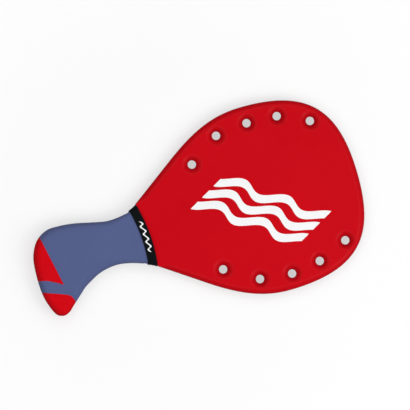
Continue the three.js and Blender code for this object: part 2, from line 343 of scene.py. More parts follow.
def inward(loop):
    """For each point of a closed anticlockwise loop, the step that moves both its edges in by one. Sharp
    corners are held back."""
    into = loop - np.roll(loop, 1, axis=0)
    into /= np.linalg.norm(into, axis=1)[:, None]
    out = np.roll(into, -1, axis=0)
    left = np.array([[0, 1], [-1, 0]])
    halfway = (into + out) @ left
    halfway /= np.linalg.norm(halfway, axis=1)[:, None]
    closing = np.einsum("ij,ij->i", halfway, out @ left)
    return halfway / np.maximum(closing, least_closing_share)[:, None]


def cut_at_neck(loop, keep_behind):
    """The part of an open line on one side of the neck line. Its two ends lie exactly on the neck line,
    and its next points leave them room, so that parallel lines don't fold at the corner."""
    depth = behind_neck(loop) * (1 if keep_behind else -1)
    inside = np.flatnonzero(depth > 0)
    ends = [(inside[0] - 1, inside[0]), (inside[-1] + 1, inside[-1])]
    start, end = [
        loop[a] + (loop[b] - loop[a]) * (depth[a] / (depth[a] - depth[b])) for a, b in ends
    ]
    return np.vstack([start, loop[depth > corner_room], end])


tang_inset = sleeve_wall + bond_gap
tang_loop = handle_loop + inward(handle_loop) * tang_inset
bat_loop = np.vstack([cut_at_neck(blade_loop, False), cut_at_neck(tang_loop, True)])
print("bat outline with the tang:", len(bat_loop), "points")

# %% [markdown]
# ## The laminate shells
#
# A composite bat is moulded as two half shells of glass cloth and resin, which meet half way through
# the thickness. Each shell has a rolled edge and ten holes with wide mouths. Both are rounded by a
# superellipse, u^p + v^p = 1. With p = 2 that is an ellipse, and with p = 1 a straight bevel. The outside
# looks a little flatter than an ellipse, as if sanded after moulding, so its p lies between them. The
# inside keeps the ellipse. Where a mouth and the rolled edge come close they melt into each other.
#
# A plate with ten Boolean holes and a Bevel modifier would be quicker. But wide bevels get in each
# other's way where they meet, and these have to melt together, so we work the surface out.
#
# The steep lower parts of edge and mouths are profiles carried round a line, so they are grids. The rest
# of the face is a height above the plan: the face's own height, less what the edge and the mouths take
# off there. Any triangles will do for it, so Blender's own triangulation makes them from the grids'
# last rows and some loose points. The wall's inner side is the same surface, one wall further in.

# %% Rounded edges
seam_depth = 0.12 * mm
round_steps = 10
loose_steps = 4
edge_run_in = 14 * mm
least_rounding = 0.8 * mm
edge_power = 1.6
moulded_power = 2
turns = np.linspace(0, math.pi / 2, round_steps + 1)[:, None]


def quarter(power):
    """At each turn t of a rounding, u = cos^(2/p) t, the share of the width that is left to cross, and
    v = sin^(2/p) t, the share of the depth that is climbed."""
    return np.cos(turns) ** (2 / power), np.sin(turns) ** (2 / power)


def smoothstep(value, low, high):
    """0 below low and 1 above high, with a cubic that starts and ends level between them."""
    t = np.clip((value - low) / (high - low), 0, 1)
    return t * t * (3 - 2 * t)


def unit(vectors):
    """The same directions, each one long."""
    return vectors / np.linalg.norm(vectors, axis=-1)[..., None]


def rolled_edge(inset):
    """Rows of points up the edge and round onto the face, and where each looks. A row of the rounding
    lies w (1 - u) further in and d (1 - v) below the face, and looks outwards by d u^(p-1) for each
    w v^(p-1) upwards. Width and depth grow from almost nothing at the neck, where the band covers a
    square shoulder."""
    grown = smoothstep(-behind_neck(bat_loop), 0, edge_run_in)
    width = np.maximum(least_rounding + (edge_width - least_rounding) * grown - inset, least_rounding / 2)
    depth = np.maximum(least_rounding + (edge_depth - least_rounding) * grown - inset, least_rounding / 2)
    steps = inward(bat_loop)
    seam = 0 if inset else seam_depth
    power = moulded_power if inset else edge_power
    u, v = quarter(power)
    ins = np.vstack([np.full_like(width, seam), np.zeros_like(width), width * (1 - u)])
    plan = bat_loop + steps * (inset + ins)[..., None]
    level = np.zeros_like(width)
    heights = np.vstack([level, level + seam_depth, blade_half - inset - depth * (1 - v)])
    up = np.vstack([level, level, width * v ** (power - 1)])
    out = np.vstack([depth, depth, depth * u ** (power - 1)])
    looks = np.concatenate([out[..., None] * -unit(steps), up[..., None]], axis=2)
    return np.concatenate([plan, heights[..., None]], axis=2), unit(looks)


print("rolled edge:", rolled_edge(0)[0].shape, "rows by points of the outline")

# %% Hole mouths
hole_radius = 5 * mm
mouth_depth = 5.6 * mm
mouth_width = 8 * mm
mouth_power = 1.45
hole_sides = 72
hole_share = np.array(
    [[0.288, 0.563], [0.43, 0.782], [0.579, 0.82], [0.72, 0.802], [0.859, 0.655]]
    + [[0.29, -0.589], [0.438, -0.797], [0.585, -0.838], [0.722, -0.794], [0.86, -0.661]]
)
hole_centres = hole_share * [blade_length, blade_reach]


def mouth_form(inset):
    """Width, depth and power of a mouth's rounding, on the outside or one wall further in."""
    return mouth_width - inset, mouth_depth - inset, moulded_power if inset else mouth_power


def hole_mouth(centre, inset):
    """Rows of points up a hole's throat and round onto the face, clockwise so that they face the hole's
    axis, and where each looks. The first row is the throat's foot, where the two shells meet."""
    angle = -2 * math.pi * np.arange(hole_sides) / hole_sides
    spoke = np.stack([np.cos(angle), np.sin(angle)], axis=1)
    width, depth, power = mouth_form(inset)
    u, v = [np.vstack([share[:1], share])[..., None] for share in quarter(power)]
    reach = hole_radius + mouth_width - width * u
    reach[0] += 0 if inset else seam_depth
    height = blade_half - inset - depth * (1 - v)
    height[0] = 0
    tall = np.ones((len(height), hole_sides, 1))
    points = np.concatenate([centre + spoke * reach, height * tall], axis=2)
    looks = np.concatenate([-spoke * depth * u ** (power - 1), width * v ** (power - 1) * tall], axis=2)
    return points, unit(looks)


def mouth_fall(plan, inset):
    """What the mouths take off the face's height at places in the plan, and how steeply, as a slope
    towards the hole. Across a mouth the drop is d (1 - v), where u runs from 0 at its rim to 1 at the
    throat, and the slope is d / w (u / v)^(p-1)."""
    to_hole = hole_centres - plan[:, None]
    away = np.linalg.norm(to_hole, axis=2)
    width, depth, power = mouth_form(inset)
    steepest = quarter(power)[0][-loose_steps]
    u = np.clip((hole_radius + mouth_width - away) / width, 0, steepest)
    v = (1 - u**power) ** (1 / power)
    slope = depth / width * (u / v) ** (power - 1)
    return (depth * (1 - v)).sum(axis=1), (unit(to_hole) * slope[..., None]).sum(axis=1)


print(len(hole_centres), "holes with mouths", round(2 * (hole_radius + mouth_width) / mm, 1), "mm across")

# %% Face between the grids
inside_ring_share = 0.999
weld = 0.0001 * mm
only_inside_loops = 1


def loose_face(inset):
    """Loose points for the face, and where they look. The upper rows of the rolled edge take the mouths'
    fall on top of their own. The mouths' upper rows fill in where the rolled edge doesn't reach."""
    rows, looks = [grid[-loose_steps:].reshape(-1, 3) for grid in rolled_edge(inset)]
    drop, slope = mouth_fall(rows[:, :2], inset)
    rows = rows - drop[:, None] * [0, 0, 1]
    looks = looks + looks[:, 2:] * np.column_stack([slope, np.zeros_like(drop)])
    mouths = [hole_mouth(centre, inset) for centre in hole_centres]
    rings, ring_looks = [
        np.concatenate([grid[-loose_steps:].reshape(-1, 3) for grid in grids]) for grids in zip(*mouths)
    ]
    room = np.array([np.linalg.norm(bat_loop - point, axis=1).min() for point in rings[:, :2]])
    free = room > edge_width + seam_depth
    return np.vstack([rows, rings[free]]), unit(np.vstack([looks, ring_looks[free]]))


def face_triangles(loops, loose):
    """Triangles between closed loops of points, by way of the loose points, as rows of places in the list
    of all points. The second and later loops are the holes' rings. A triangle whose middle lies nearer
    to a hole's middle than its ring closes the hole, so it is left out."""
    points = np.vstack([*loops, loose])[:, :2]
    starts = np.cumsum([0] + [len(loop) for loop in loops])
    rings = [np.arange(a, b) for a, b in zip(starts, starts[1:])]
    edges = np.vstack([np.stack([ring, np.roll(ring, -1)], axis=1) for ring in rings])
    coords = [Vector(point) for point in points.tolist()]
    filled = delaunay_2d_cdt(coords, edges.tolist(), [], only_inside_loops, weld)
    _, _, faces, origins, _, _ = filled
    triangles = np.array([origin[0] for origin in origins])[np.array(faces)]
    away = np.linalg.norm(points[triangles].mean(axis=1)[:, None] - hole_centres, axis=2).min(axis=1)
    ring_reach = np.linalg.norm(loops[1][0, :2] - hole_centres[0])
    triangles = triangles[away > ring_reach * inside_ring_share]
    a, b, c = points[triangles].transpose(1, 0, 2)
    clockwise = np.cross(b - a, c - a) < 0
    triangles[clockwise] = triangles[clockwise][:, ::-1]
    return triangles


print("loose points on the face:", len(loose_face(0)[0]))

# %% One half shell
def half_shell(name, node, turned_over):
    """The outer surface, the inner one, and the rims that join them where the two shells meet."""
    shell = Surface(turned_over)
    feet = []
    for inset in (0, skin_wall):
        inner = inset > 0
        patches = [rolled_edge(inset)] + [hole_mouth(centre, inset) for centre in hole_centres]
        patches = [(points[:-loose_steps], looks[:-loose_steps]) for points, looks in patches]
        numbers = [shell.add_points(points) for points, _ in patches]
        for grid, (_, looks) in zip(numbers, patches):
            shell.add_faces(corners(grid), corners(looks), inner)
        loose, loose_looks = loose_face(inset)
        tops = np.concatenate([grid[-1] for grid in numbers] + [shell.add_points(loose)])
        top_looks = np.vstack([looks[-1] for _, looks in patches] + [loose_looks])
        triangles = face_triangles([points[-1] for points, _ in patches], loose)
        shell.add_faces(tops[triangles], top_looks[triangles], inner)
        feet.append([grid[0] for grid in numbers])
    for outer_foot, inner_foot in zip(*feet):
        shell.add_faces(corners(np.stack([inner_foot, outer_foot])), [0, 0, -1])
    made = piece(name, shell.mesh(name), node, slot="red_laminate")
    print(name, "has", len(made.data.polygons), "faces")
    return made


front_shell = half_shell("front_shell", "front_skin", False)
back_shell = half_shell("back_shell", "back_skin", True)

# %% [markdown]
# ## The handle as one surface
#
# Sleeve, panels and band are all skins of one form. Each could be modelled by itself, but then every
# change would have to be made in all of them, so the form is a function that they share. Stations run
# down the handle from the neck to the toe. At each one the section starts on the heel side, rounds over
# the edge, crosses the face to its partner on the throat side, and comes back underneath. The handle
# thickens behind the neck, and its edges round more as it does. Along the throat, where the fingers hook
# round, the rounding is half as wide again as it is deep.

# %% Handle form
side_flat = 8 * mm
taper_start = 14 * mm
taper_end = 62 * mm
throat_width_share = 0.5
throat_run_share = (0.12, 0.34, 0.58, 0.78)
neck_half = blade_half + tang_inset + bond_gap
across_steps = 28


def handle_half(x):
    """Half the handle's thickness, which eases from the neck's to the grip's along the taper."""
    return neck_half + (grip_half - neck_half) * smoothstep(-x, taper_start, taper_end)


def width_share():
    """How wide the rounded edge is for its depth, at each point of the outline: one, and up to half as
    much again along the throat, which is the outline's second half."""
    run = -handle_loop[:, 0] / handle_length
    start, full, easing, end = throat_run_share
    widened = smoothstep(run, start, full) - smoothstep(run, easing, end)
    return 1 + throat_width_share * np.where(np.arange(len(run)) > len(run) / 2, widened, 0)


def handle_grid(inset):
    """Points by station and by place round the section, one inset inside the outermost surface. Below
    zero the inset goes outwards."""
    half = handle_half(handle_loop[:, 0])
    depth = half - side_flat / 2
    width = width_share() * depth - inset
    level = np.zeros_like(half)
    ins = np.vstack([level, width * (1 - np.cos(turns))])
    heights = np.vstack([level, half - inset - (depth - inset) * (1 - np.sin(turns))])
    plan = handle_loop + inward(handle_loop) * (inset + ins)[..., None]
    sides = np.concatenate([plan, heights[..., None]], axis=2).transpose(1, 0, 2)
    stations = (len(handle_loop) + 1) // 2
    heel, throat = sides[:stations], sides[::-1][:stations]
    share = np.linspace(0, 1, across_steps + 1)[1:-1, None]
    face = heel[:, -1:] + share * (throat[:, -1:] - heel[:, -1:])
    top = np.concatenate([heel, face, throat[:, ::-1]], axis=1)
    below = top[:, -2:0:-1] * [1, 1, -1]
    return np.concatenate([top, below], axis=1)


def rows_from(grid, start, count):
    """The grid's rows run again from a fractional row of their own in each column to the last row."""
    rows = start + (len(grid) - 1 - start) * np.linspace(0, 1, count)[:, None]
    return read_rows(grid, rows)


def read_rows(grid, rows):
    """The grid read at fractional rows: each value is weighed between the row below and the row above."""
    low = np.minimum(rows.astype(int), len(grid) - 2)
    share = (rows - low)[..., None]
    below = np.take_along_axis(grid, low[..., None], axis=0)
    above = np.take_along_axis(grid, low[..., None] + 1, axis=0)
    return below + share * (above - below)


def row_behind(grid, distance):
    """In each column, the fractional row that lies a distance behind the neck line."""
    depth = behind_neck(grid) - distance
    first = (depth < 0).sum(axis=0) - 1
    here = np.take_along_axis(depth, first[None], axis=0)[0]
    after = np.take_along_axis(depth, first[None] + 1, axis=0)[0]
    return first - here / (after - here)


print("handle form:", handle_grid(0).shape, "stations by section places")

# %% [markdown]
# ## Sleeve and panels
#
# The sleeve is 2 mm neoprene with a knit face, cut and glued round the handle, with two red panels let
# in flush. We make the whole wrap as one closed wall, an outer and an inner grid joined at the neck,
# and then cut it as a maker would, with the two panel patterns. Booleans do the cutting: the sleeve is
# what lies outside the patterns, and each panel is what lies inside one. Two colours on one wall would
# be simpler, but the panels are pieces of their own, and a fine gap runs round them.
#
# The band squeezes the soft sleeve, so it swells a little just behind the band.

# %% The whole wrap
swell_height = 0.35 * mm
swell_place = band_width + 3.2 * mm
swell_width = 2.4 * mm
side_seam = 0.18 * mm
seam_half_width = 0.6 * mm
station_rows = 230
least_length = 1e-12


def grid_looks(grid):
    """The direction in which a closed grid faces: the cross product of its steps along and across. It is
    divided by its length, but not by nothing where the grid closes on itself."""
    along = np.gradient(grid, axis=0)
    across = np.roll(grid, -1, axis=1) - np.roll(grid, 1, axis=1)
    looks = np.cross(across, along)
    return looks / np.maximum(np.linalg.norm(looks, axis=2), least_length)[..., None]


def wrap_grid(inset, soft):
    """The handle form trimmed on the neck line. A soft surface swells by a bell curve of the distance
    behind the neck, and dips along the seams in the middle of both sides. Its last two rows, where the
    grid closes on itself, stay."""
    form = handle_grid(inset)
    grid = rows_from(form, row_behind(form, bond_gap), station_rows)
    if soft:
        swell = swell_height * np.exp(-(((behind_neck(grid) - swell_place) / swell_width) ** 2))
        dip = side_seam * np.exp(-((grid[..., 2] / seam_half_width) ** 2))
        looks = grid_looks(grid)
        looks[-2:] = 0
        grid = grid + looks * (swell - dip)[..., None]
    return grid


def wrap_mesh():
    """Outer grid, inner grid turned over, and a strip between their first rows. The last station closes
    on itself, so points that coincide there are made one."""
    walls = np.stack([wrap_grid(0, True), wrap_grid(sleeve_wall, False)])
    outer, inner = numbered(walls)
    rim = corners(np.stack([inner[0], outer[0]]))
    faces = np.vstack([corners(outer)[:, ::-1], corners(inner), rim[:, ::-1]])
    made = mesh_of("wrap", walls, faces.tolist())
    work = bmesh.new()
    work.from_mesh(made)
    bmesh.ops.remove_doubles(work, verts=work.verts, dist=weld)
    work.to_mesh(made)
    work.free()
    return made


wrap = placed("wrap", wrap_mesh())
print("wrap:", len(wrap.data.polygons), "faces")

# %% Cutting patterns
cut_gap = 0.12 * mm
pattern_steps = 8
pattern_height_share = 2
heel_corner_share = np.array([[0.908, -0.08], [1.15, -0.08]])
heel_edge_share = np.array(
    [[1.15, 0.497], [0.989, 0.544], [0.93, 0.565], [0.888, 0.592], [0.846, 0.6225], [0.802, 0.661]]
)
toe_corner_share = np.array([[1.15, 1.15], [0.738, 1.15]])
toe_edge_share = np.array(
    [[0.738, 0.982], [0.746, 0.89], [0.756, 0.838], [0.777, 0.798]]
    + [[0.82, 0.768], [0.88, 0.737], [1.15, 0.602]]
)


def pattern(name, corner_share, edge_share, grow):
    """A cutting block: straight corners and one curved edge in plan, grown all round, far taller than
    the handle."""
    edge = smooth_curve(handle_place(edge_share), pattern_steps)
    loop = np.vstack([handle_place(corner_share), edge])
    loop -= inward(loop) * grow
    height = pattern_height_share * grip_half
    points = np.stack([np.column_stack([loop, np.full(len(loop), z)]) for z in (-height, height)])
    low, high = numbered(points)
    faces = corners(np.stack([low, high])).tolist() + [low[::-1].tolist(), high.tolist()]
    return placed(name, mesh_of(name, points, faces))


wide_heel = pattern("wide_heel", heel_corner_share, heel_edge_share, cut_gap / 2)
wide_toe = pattern("wide_toe", toe_corner_share, toe_edge_share, cut_gap / 2)
tight_heel = pattern("tight_heel", heel_corner_share, heel_edge_share, -cut_gap / 2)
tight_toe = pattern("tight_toe", toe_corner_share, toe_edge_share, -cut_gap / 2)
for block in (wide_heel, wide_toe):
    print(block.name, "is cut along", len(block.data.vertices) // 2, "points")

# %% Cuts
sharp_angle = math.radians(40)


def creased(mesh):
    """The mesh shaded smooth, but for edges where its faces turn by more than the sharp angle."""
    mesh.shade_smooth()
    mesh.set_sharp_from_angle(angle=sharp_angle)
    return mesh


def carved(name, node, slot, *cuts):
    """The wrap after some Boolean cuts, each an operation and the block that does it."""
    tools = [wrap.modifiers.new("cut", "BOOLEAN") for _ in cuts]
    for tool, (operation, block) in zip(tools, cuts):
        tool.operation, tool.object, tool.solver = operation, block, "MANIFOLD"
    ready = wrap.evaluated_get(bpy.context.evaluated_depsgraph_get())
    made = bpy.data.meshes.new_from_object(ready)
    for tool in tools:
        wrap.modifiers.remove(tool)
    made.name = name
    print(name, "has", len(made.polygons), "faces")
    return piece(name, creased(made), node, slot=slot)


knit_sleeve = carved(
    "knit_sleeve", "grip_sleeve", "grey_sleeve", ("DIFFERENCE", wide_heel), ("DIFFERENCE", wide_toe)
)
heel_inlay = carved("heel_inlay", "heel_panel", "red_sleeve", ("INTERSECT", tight_heel))
toe_inlay = carved("toe_inlay", "toe_panel", "red_sleeve", ("INTERSECT", tight_toe))
for scrap in (wrap, wide_heel, wide_toe, tight_heel, tight_toe):
    bpy.data.objects.remove(scrap)

# %% [markdown]
# ## The band round the neck
#
# A woven elastic band hides the end of the sleeve. Its section is a thin strip with two rounded outer
# edges, carried round the neck. A curve's bevel could carry it, but the handle widens towards the blade
# and the strip has to lie on it all the way. Inner and outer surface are two parallel forms of the
# handle, so a section point needs only its distance behind the neck line and its share of the way
# between them.

# %% Neck band
hem_round = 0.5 * mm
hem_steps = 6
band_rows = 14


def band_section():
    """Distance behind the band's front edge and share of the wall, once round the strip's section."""
    turn = np.linspace(0, math.pi / 2, hem_steps)
    low = 1 - hem_round / band_wall
    front = np.stack([hem_round * (1 - np.cos(turn)), low + (1 - low) * np.sin(turn)], axis=1)
    across = np.linspace(hem_round, band_width - hem_round, band_rows)[1:-1]
    middle = np.stack([across, np.ones_like(across)], axis=1)
    back = (front * [-1, 1] + [band_width, 0])[::-1]
    return np.vstack([[0, 0], front, middle, back, [band_width, 0]])


def band_mesh():
    """For each section point, the handle's two forms are read where they lie that far behind the neck
    line, and weighed by the share of the wall."""
    inner, outer = handle_grid(-bond_gap), handle_grid(-bond_gap - band_wall)
    section = band_section()
    distance = section[:, 0] + bond_gap
    grids = [read_rows(grid, np.stack([row_behind(grid, d) for d in distance])) for grid in (inner, outer)]
    points = grids[0] + section[:, 1, None, None] * (grids[1] - grids[0])
    numbers = numbered(points)
    faces = corners(np.vstack([numbers, numbers[:1]]))[:, ::-1]
    return creased(mesh_of("neck_band", points, faces.tolist()))


neck_band = piece("neck_band", band_mesh(), "collar_band", slot="black_band")
print("neck band:", len(neck_band.data.polygons), "faces")

# %% [markdown]
# ## The print
#
# Screen print is a film of ink a few hundredths of a millimetre thick. Ours is three plain wave
# ribbons on the blade and a small one on the band. A mask in the red finish could draw them, but once it
# is baked into a picture its edge is no sharper than the pixels. A ribbon is a grid: one parameter runs
# along it, the other across. Its middle line is a sine, its thickness swells once a wave, and the whole
# ribbon leans, which slants its ends.

# %% Wave ribbons
ink_wall = 0.03 * mm
ink_clear = 0.02 * mm
print_length = 134 * mm
print_pitch = 17.5 * mm
print_thickness = 10 * mm
print_swing = 5.2 * mm
print_wave = 56 * mm
print_lean = math.tan(math.radians(25))
print_turn = math.radians(-36.5)
print_middle = (140.4 * mm, -11.7 * mm)
ribbon_columns = 160
ribbon_rows = 5
ribbon_swell_share = 0.3
band_print_length = 38 * mm
band_print_thickness = 2 * mm
band_print_swing = 1.8 * mm
band_print_wave = 9.5 * mm
band_print_y = -3 * mm


def ribbon(length, thickness, swing, wave, shift):
    """Places along and across a ribbon. The middle line is swing times a sine of the way along, and the
    thickness swells by a share of itself with a cosine of the way."""
    columns, rows = np.linspace(-0.5, 0.5, ribbon_columns), np.linspace(-0.5, 0.5, ribbon_rows)
    along, side = np.meshgrid(columns * length, rows)
    phase = 2 * math.pi * along / wave
    up = shift + swing * np.sin(phase) + side * thickness * (1 + ribbon_swell_share * np.cos(phase))
    return along + print_lean * up, up


def film(name, points):
    """An ink film: a flat grid given its thickness outwards."""
    faces = corners(numbered(points), closed=False)
    printed = piece(name, mesh_of(name, points, faces.tolist()))
    wall = printed.modifiers.new("ink", "SOLIDIFY")
    wall.thickness, wall.offset = ink_wall, 1
    return printed


def blade_ribbon(shift):
    """A ribbon turned to the print's slant and laid on the blade's face."""
    along, up = ribbon(print_length, print_thickness, print_swing, print_wave, shift)
    x = along * math.cos(print_turn) - up * math.sin(print_turn)
    y = along * math.sin(print_turn) + up * math.cos(print_turn)
    return np.dstack([x + print_middle[0], y + print_middle[1], np.full_like(x, blade_half + ink_clear)])


def band_ribbon():
    """A small ribbon that follows the band: its length runs across the racket, its height along it."""
    along, up = ribbon(band_print_length, band_print_thickness, band_print_swing, band_print_wave, 0)
    y = band_print_y - along
    x = behind_neck(np.dstack([np.zeros_like(y), y])) - bond_gap - band_width / 2 + up
    return np.dstack([x, y, np.full_like(y, neck_half + bond_gap + band_wall + ink_clear)])


blade_shifts = (print_pitch, 0, -print_pitch)
blade_prints = [film(f"wave_print_{k}", blade_ribbon(shift)) for k, shift in enumerate(blade_shifts, 1)]
band_print = film("band_print", band_ribbon())
print("print:", len(blade_prints), "ribbons on the blade, one on the band")

# %% [markdown]
# ## Writing finishes as sums
#
# A finish is a small formula that says how colour, roughness and height vary from place to place. In a
# script that adds and links its nodes one by one the formula is hard to see. We want to write it as one,
# so a wire, which is one output of a node, learns to add and multiply: each operator adds the Math node
# that does it. Every other node comes from one method.

# %% Wires and finishes
class Wire:
    """One output of a node that can stand in a sum."""

    def __init__(self, finish, socket):
        self.finish, self.socket = finish, socket

    def __add__(self, other):
        return self.finish.sum("ADD", self, other)

    def __sub__(self, other):
        return self.finish.sum("SUBTRACT", self, other)

    def __rsub__(self, other):
        return self.finish.sum("SUBTRACT", other, self)

    def __mul__(self, other):
        return self.finish.sum("MULTIPLY", self, other)

    def __pow__(self, other):
        return self.finish.sum("POWER", self, other)

    def __abs__(self):
        return self.finish.sum("ABSOLUTE", self)

    __radd__, __rmul__ = __add__, __mul__


class Finish:
    """A material with one Principled shader, whose plain values are set here once."""

    def __init__(self, name, **plain):
        self.material = bpy.data.materials.new(name)
        self.material.use_nodes = True
        self.tree = self.material.node_tree
        self.shader = self.tree.nodes["Principled BSDF"]
        for socket, value in plain.items():
            self.shader.inputs[socket.replace("_", " ")].default_value = value
        self.place = self.node("ShaderNodeTexCoord", out="Object")

    def node(self, kind, settings=None, sockets=None, out=0):
        """Adds a node: its settings first, then a value or a wire for each socket. Gives one output."""
        made = self.tree.nodes.new(kind)
        for name, value in (settings or {}).items():
            setattr(made, name, value)
        for name, value in (sockets or {}).items():
            if isinstance(value, Wire):
                self.tree.links.new(value.socket, made.inputs[name])
            else:
                made.inputs[name].default_value = value
        return Wire(self, made.outputs[out])

    def sum(self, operation, *values):
        """A Math node on values and wires."""
        return self.node("ShaderNodeMath", {"operation": operation}, dict(enumerate(values)))

    def split(self, vector):
        """A vector's three parts as wires."""
        return [self.node("ShaderNodeSeparateXYZ", None, {0: vector}, out=k) for k in range(3)]

    def noise(self, scale, detail=2, stretch=(1, 1, 1)):
        """Soft random values about 0.5. Their features are one over scale wide, and longer along an axis
        where stretch is small."""
        where = self.node("ShaderNodeMapping", None, {"Vector": self.place, "Scale": stretch})
        return self.node("ShaderNodeTexNoise", None, {"Vector": where, "Scale": scale, "Detail": detail})

    def blend(self, share, low, high):
        """A colour between two, by a share from 0 to 1. The Mix node takes its colours at sockets 6 and 7
        and gives the mixed one as output 2."""
        colours = {0: share, 6: (*low, 1), 7: (*high, 1)}
        return self.node("ShaderNodeMix", {"data_type": "RGBA"}, colours, out=2)

    def shade(self, share, colour, factors):
        """A colour that goes from darker to lighter, by two factors, as the share goes from 0 to 1."""
        return self.blend(share, *[[min(c * factor, 1) for c in colour] for factor in factors])

    def vector(self, operation, vector, sockets, out=0):
        """A Vector Math node on a vector or colour: its other sockets are given by name or number."""
        return self.node("ShaderNodeVectorMath", {"operation": operation}, {0: vector, **sockets}, out)

    def wave(self, value, pitch=1):
        """A cosine of a wire. It comes back to its height after each pitch."""
        return self.sum("COSINE", value * (2 * math.pi / pitch))

    def ease(self, value, start, full, low=0):
        """A smoothstep of a wire: low at the start, 1 from where it is full."""
        sockets = {"Value": value, "From Min": start, "From Max": full, "To Min": low}
        return self.node("ShaderNodeMapRange", {"interpolation_type": "SMOOTHSTEP"}, sockets)

    def paint(self, colour, roughness, height, depth):
        """Feeds the shader. The height, from about 0 to 1, stands for a relief of the given depth."""
        bump = self.node("ShaderNodeBump", None, {"Strength": 1, "Distance": depth, "Height": height})
        for wire, socket in ((colour, "Base Color"), (roughness, "Roughness"), (bump, "Normal")):
            self.tree.links.new(wire.socket, self.shader.inputs[socket])
        return self.material


def give(finish, *pieces):
    """Puts a finish on pieces, in place of any other."""
    for made in pieces:
        made.data.materials.clear()
        made.data.materials.append(finish)
    print(finish.name, "on", ", ".join(made.name for made in pieces))


def linear(*screen):
    """A screen colour of three numbers up to 255 as the light that it stands for, by the power part of
    the sRGB curve."""
    return tuple((((c / 255) + 0.055) / 1.055) ** 2.4 for c in screen)


red = linear(203, 7, 22)
panel_red = linear(214, 5, 20)
grey_blue = linear(82, 94, 140)
print("red", [round(c, 3) for c in red], "grey blue", [round(c, 3) for c in grey_blue])

# %% [markdown]
# ## Gel coat on the laminate
#
# The shells are sprayed in the mould with a red gel coat. It is glossy but not perfect: it ripples a
# little like orange peel, the glass cloth below prints through as a faint weave, and soft patches are
# a shade duller from handling. All of that is a few thousandths of a millimetre deep, so it shows in
# the highlights. An image could hold it, but would have to be laid out on the shell and would blur close
# up. Noise and waves that are read off the place in space need no layout and stay sharp.
#
# The red is painted darker on the curves and in the mouths, as painted shade where those slopes turn
# away from the light. The finish knows the curve by how far a point lies below the flat face, and a
# mouth by the distance to the nearest hole.

# %% Red gel coat
cloth_pitch = 2.6 * mm
coat_relief = 0.02 * mm
coat_roughness = 0.26
peel_scale = 360
peel_share = 0.8
weave_share = 0.1
cloud_scale = 12
cloud_tint = 0.14
cloud_roughness = 0.08
hairline_scale = 900
hairline_stretch = (0.04, 1, 1)
hairline_roughness = 0.03
curve_start = 0.3 * mm
curve_full = 3 * mm
curve_painted_shade = 0.08
mouth_painted_shade = 0.17


def nearest_hole(f):
    """How far a place lies in plan from the middle of the hole that is nearest to it."""
    plan = f.vector("MULTIPLY", f.place, {1: (1, 1, 0)})
    middles = [(x + neck_x, y, 0) for x, y in hole_centres.tolist()]
    away = [f.vector("DISTANCE", plan, {1: middle}, out="Value") for middle in middles]
    return functools.reduce(functools.partial(f.sum, "MINIMUM"), away)


def gel_coat():
    """Orange peel and a cross weave as height, slow clouds and fine hairlines in the roughness, and
    painted shade that darkens the red on the curve and in the mouths."""
    f = Finish("red_gel_coat", Specular_IOR_Level=0.05)
    x, y, z = f.split(f.place)
    # painted shade: the red is darkened on the rolled edges and in the hole mouths, where the slopes turn
    # from the light
    curve = f.ease(blade_half - abs(z - mid_z), curve_start, curve_full)
    mouth = f.ease(nearest_hole(f), hole_radius + mouth_width, hole_radius)
    painted_shade = curve * curve_painted_shade + mouth * mouth_painted_shade
    weave = f.wave(x, cloth_pitch) * f.wave(y, cloth_pitch)
    peel = f.noise(peel_scale, detail=1)
    clouds = f.noise(cloud_scale, detail=3)
    hairlines = f.noise(hairline_scale, stretch=hairline_stretch)
    colour = f.vector("SCALE", red, {"Scale": 1 - cloud_tint / 2 + clouds * cloud_tint - painted_shade})
    rough = coat_roughness + clouds * cloud_roughness + hairlines * hairline_roughness
    return f.paint(colour, rough, peel * peel_share + weave * weave_share, coat_relief)


give(gel_coat(), front_shell, back_shell)

# %% [markdown]
# ## Knit face of the sleeve
#
# Neoprene for grips is faced with a fine jersey. Its stitches are V shapes in columns, thousands of
# them and each a millimetre wide, so they are drawn by the finish and not modelled. A V is a wave whose
# phase shifts with the distance from the column's middle. The pattern has to lie flat on the faces, the
# sides and the butt, and a layout of the wrap as one flat sheet would crowd it round the toe. So we draw
# it along three axes and let the direction in which the surface looks choose between them.

# %% Knit
wale = 1.15 * mm
course = 0.95 * mm
knit_relief = 0.12 * mm
knit_roughness = 0.9
knit_polish = 0.12
knit_shades = (0.84, 1.16)
stitch_shade_share = 0.35
yarn_tint = 0.35
yarn_scale = 1400
yarn_share = 0.25
fading_scale = 22
stitch_delay = 0.5
loop_share = 0.3
column_fall = 0.7


def stitches(f, across, along):
    """Columns one wale wide: a cosine along each column, delayed by half a stitch towards its sides, on
    a ridge that falls off to the sides with the square of the distance."""
    column = f.sum("FRACT", across * (1 / wale))
    side = abs(column - 0.5) * 2
    loop = f.wave(along * (1 / course) + side * stitch_delay)
    return (loop * loop_share + (1 - loop_share)) * (1 - side * side * column_fall)


def knit(name, colour, gloss, sheen):
    """Stitches on each side, mixed by the squares of the parts of the surface's direction. The dips
    between stitches are painted darker as painted shade, single yarns differ a little, and the cloth has
    faded in soft patches."""
    f = Finish(name, Specular_IOR_Level=gloss, Sheen_Weight=sheen, Sheen_Roughness=0.5)
    x, y, z = f.split(f.place)
    looks = f.split(f.node("ShaderNodeNewGeometry", out="Normal"))
    sides = [stitches(f, y, z), stitches(f, z, x), stitches(f, y, x)]
    height = sum(look * look * side for look, side in zip(looks, sides))
    yarn = f.noise(yarn_scale)
    fading = f.noise(fading_scale, detail=3)
    # painted shade: the colour follows the stitch height, so the dips between stitches are darker
    tint = height * stitch_shade_share + yarn * yarn_tint + fading * (1 - stitch_shade_share - yarn_tint)
    rough = knit_roughness - height * knit_polish
    return f.paint(f.shade(tint, colour, knit_shades), rough, height + yarn * yarn_share, knit_relief)


give(knit("grey_knit", grey_blue, gloss=0.25, sheen=0.12), knit_sleeve)
give(knit("red_knit", panel_red, gloss=0.05, sheen=0.02), heel_inlay, toe_inlay)

